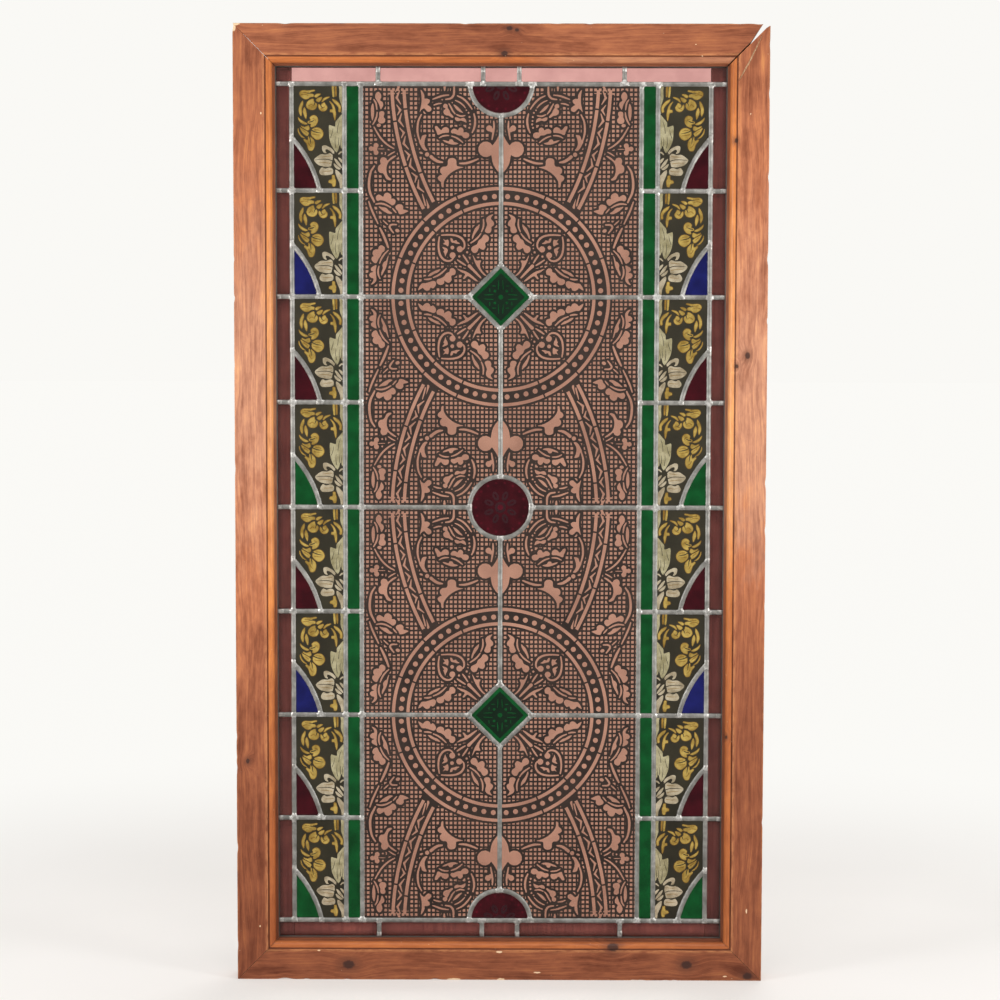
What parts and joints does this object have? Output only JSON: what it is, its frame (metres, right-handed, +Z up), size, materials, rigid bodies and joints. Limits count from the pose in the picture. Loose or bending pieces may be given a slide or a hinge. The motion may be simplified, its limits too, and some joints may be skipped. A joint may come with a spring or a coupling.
{
  "type": "leaded stained glass window",
  "caption": "Rectangular leaded stained glass window in a moulded, mitred pine frame, with stencilled panes round jewels of ruby and green glass and a painted floral border.",
  "frame": {"origin": "middle of the frame's underside, midway between its front and back faces", "axes": "+Z up the window, +Y towards its back, so the moulded front faces -Y; +X to the right seen from the front"},
  "size_m": [0.65, 0.044, 1.175],
  "materials": {
    "stained_pine": "reddish stained and varnished pine, worn and chipped, semi-matt",
    "bead_pine": "plain sawn pine with a thin stain, matt",
    "lead": "grey oxidised lead came with brighter solder at the joints, satin",
    "stencilled_glass": "pale pink glass under a dark brown stencilled and fired pattern",
    "painted_glass": "glass with a dark painted ground, amber and cream flowers",
    "pink_glass": "pale pink glass, smooth",
    "ruby_glass": "deep ruby glass, smooth",
    "green_glass": "deep green glass, smooth",
    "blue_glass": "deep blue glass, smooth"
  },
  "bodies": {
    "root": {"left_stile": "stained_pine", "right_stile": "stained_pine", "top_rail": "stained_pine", "bottom_rail": "stained_pine", "left_bead": "bead_pine", "right_bead": "bead_pine", "top_bead": "bead_pine", "bottom_bead": "bead_pine", "lead_cames": "lead", "left_field_pane_1": "stencilled_glass", "left_field_pane_2": "stencilled_glass", "left_field_pane_3": "stencilled_glass", "left_field_pane_4": "stencilled_glass", "right_field_pane_1": "stencilled_glass", "right_field_pane_2": "stencilled_glass", "right_field_pane_3": "stencilled_glass", "right_field_pane_4": "stencilled_glass", "left_quarry_1": "painted_glass", "left_quarry_2": "painted_glass", "left_quarry_3": "painted_glass", "left_quarry_4": "painted_glass", "left_quarry_5": "painted_glass", "left_quarry_6": "painted_glass", "left_quarry_7": "painted_glass", "left_quarry_8": "painted_glass", "right_quarry_1": "painted_glass", "right_quarry_2": "painted_glass", "right_quarry_3": "painted_glass", "right_quarry_4": "painted_glass", "right_quarry_5": "painted_glass", "right_quarry_6": "painted_glass", "right_quarry_7": "painted_glass", "right_quarry_8": "painted_glass", "left_corner_1": "ruby_glass", "left_corner_2": "blue_glass", "left_corner_3": "ruby_glass", "left_corner_4": "green_glass", "left_corner_5": "ruby_glass", "left_corner_6": "blue_glass", "left_corner_7": "ruby_glass", "left_corner_8": "green_glass", "right_corner_1": "ruby_glass", "right_corner_2": "blue_glass", "right_corner_3": "ruby_glass", "right_corner_4": "green_glass", "right_corner_5": "ruby_glass", "right_corner_6": "blue_glass", "right_corner_7": "ruby_glass", "right_corner_8": "green_glass", "upper_half_roundel": "ruby_glass", "roundel": "ruby_glass", "lower_half_roundel": "ruby_glass", "upper_diamond": "green_glass", "lower_diamond": "green_glass", "left_green_strip": "green_glass", "right_green_strip": "green_glass", "left_border_strip": "pink_glass", "right_border_strip": "pink_glass", "top_border_strip": "pink_glass", "bottom_border_strip": "pink_glass"}
  },
  "joints": []
}
